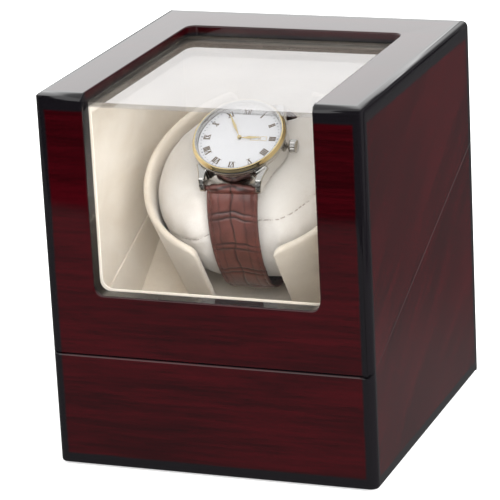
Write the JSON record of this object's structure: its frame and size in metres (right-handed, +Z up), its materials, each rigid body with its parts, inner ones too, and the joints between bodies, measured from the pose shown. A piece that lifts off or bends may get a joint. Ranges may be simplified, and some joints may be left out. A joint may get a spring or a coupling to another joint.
{
  "type": "watch winder box",
  "caption": "Lacquered wooden cube parted on a slant; a motor-driven velvet cup on a tilted axis turns a cushion and its wristwatch under a hinged, windowed lid.",
  "frame": {"origin": "under the middle of the footprint, hinge barrels included, on the surface that the feet stand on", "axes": "+Z up, -Y towards the front with the window, +X to the right as seen from the front"},
  "size_m": [0.14, 0.1502, 0.161],
  "materials": {
    "lacquered_wood": "high-gloss lacquer over red-brown rosewood veneer, edges shaded to black",
    "velvet": "cream velvet",
    "cushion_velvet": "cream velvet, lightly crushed",
    "acrylic": "clear polished acrylic",
    "panel_black": "black-stained board",
    "raw_wood": "plain softwood",
    "brass": "polished brass",
    "steel": "zinc-plated steel",
    "magnet": "nickel-plated magnet",
    "rubber": "soft black rubber",
    "black_plastic": "fine-textured black plastic",
    "gloss_black": "glossy black plastic",
    "circuit": "green solder mask",
    "lead_sheath": "red and black PVC",
    "gear_nylon": "natural nylon",
    "motor_steel": "plated steel can",
    "shaft_steel": "ground steel",
    "watch_steel": "polished stainless steel",
    "watch_gold": "polished gold plating",
    "watch_glass": "domed clear crystal",
    "dial_white": "satin white enamel",
    "strap_leather": "brown embossed leather"
  },
  "bodies": {
    "box": {"base_shell": "lacquered_wood", "bottom_panel": "panel_black", "bottom_screws": "steel", "fixing_blocks": "raw_wood", "feet": "rubber", "base_lining": "velvet", "deck_panel": "velvet", "deck_cleats": "raw_wood", "hinge_base_leaves": "brass", "hinge_pins": "brass", "hinge_base_screws": "brass", "base_magnet": "magnet", "rear_plate": "black_plastic", "rear_plate_screws": "steel", "dc_inlet": "black_plastic", "rocker_frame": "black_plastic", "mode_switch": "circuit", "control_board": "circuit", "board_components": "black_plastic", "board_standoffs": "brass", "board_screws": "steel", "power_leads": "lead_sheath", "motor_leads": "lead_sheath", "gearbox_plate": "motor_steel", "gearbox_cover": "black_plastic", "gearbox_screws": "steel", "motor": "motor_steel", "motor_screws": "steel", "spindle_bushes": "gear_nylon", "idler_pin": "shaft_steel"},
    "lid": {"lid_shell": "lacquered_wood", "lid_lining": "velvet", "front_pane": "acrylic", "top_pane": "acrylic", "hinge_lid_leaves": "brass", "hinge_lid_screws": "brass", "lid_magnet": "magnet"},
    "turntable": {"output_gear": "gear_nylon", "spindle": "shaft_steel", "cup_hub": "black_plastic", "cup_screws": "steel", "winder_cup": "velvet", "cushion": "cushion_velvet", "watch_case": "watch_steel", "watch_case_back": "watch_steel", "watch_bezel": "watch_gold", "watch_crystal": "watch_glass", "watch_dial": "dial_white", "watch_spring_bars": "watch_steel", "watch_strap": "strap_leather", "watch_buckle": "watch_steel"},
    "idler": {"idler_gear": "gear_nylon"},
    "pinion": {"motor_pinion": "brass"},
    "rocker": {"power_rocker": "gloss_black"},
    "knob": {"mode_knob": "gloss_black"},
    "hour_hand": {"watch_hour_hand": "watch_gold"},
    "minute_hand": {"watch_minute_hand": "watch_gold"},
    "crown": {"watch_crown": "watch_gold"}
  },
  "joints": [
    {"name": "lid_hinge", "type": "hinge", "parent": "box", "child": "lid", "pos_m": [0, 0.07312, 0.10839], "axis": [-1, 0, 0], "range_deg": [0, 95]},
    {"name": "cup_spin", "type": "hinge", "parent": "box", "child": "turntable", "pos_m": [0, 0.01858, 0.06614], "axis": [0, -0.5592, 0.829], "continuous": true},
    {"name": "idler_spin", "type": "hinge", "parent": "box", "child": "idler", "pos_m": [-0.0256, 0.01858, 0.06614], "axis": [0, -0.5592, 0.829], "continuous": true},
    {"name": "pinion_spin", "type": "hinge", "parent": "box", "child": "pinion", "pos_m": [-0.01373, 0.00284, 0.05552], "axis": [0, -0.5592, 0.829], "continuous": true},
    {"name": "power_rock", "type": "hinge", "parent": "box", "child": "rocker", "pos_m": [0, 0.07088, 0.028], "axis": [0, 0, 1], "range_deg": [0, 18]},
    {"name": "mode_turn", "type": "hinge", "parent": "box", "child": "knob", "pos_m": [0.022, 0.07088, 0.028], "axis": [0, 1, 0], "range_deg": [0, 270]},
    {"name": "minute_spin", "type": "hinge", "parent": "turntable", "child": "minute_hand", "pos_m": [-0.0008, -0.02617, 0.13245], "axis": [0, 0.5592, -0.829], "continuous": true},
    {"name": "hour_spin", "type": "hinge", "parent": "turntable", "child": "hour_hand", "pos_m": [-0.0008, -0.02617, 0.13245], "axis": [0, 0.5592, -0.829], "continuous": true},
    {"name": "crown_turn", "type": "hinge", "parent": "turntable", "child": "crown", "pos_m": [0.01889, -0.0228, 0.12839], "axis": [0.9997, 0.0217, 0.0146], "continuous": true}
  ],
  "couplings": [
    {"joint": "idler_spin", "follows": "cup_spin", "ratio": -3},
    {"joint": "pinion_spin", "follows": "cup_spin", "ratio": 7.5},
    {"joint": "hour_spin", "follows": "minute_spin", "ratio": 0.083333}
  ]
}
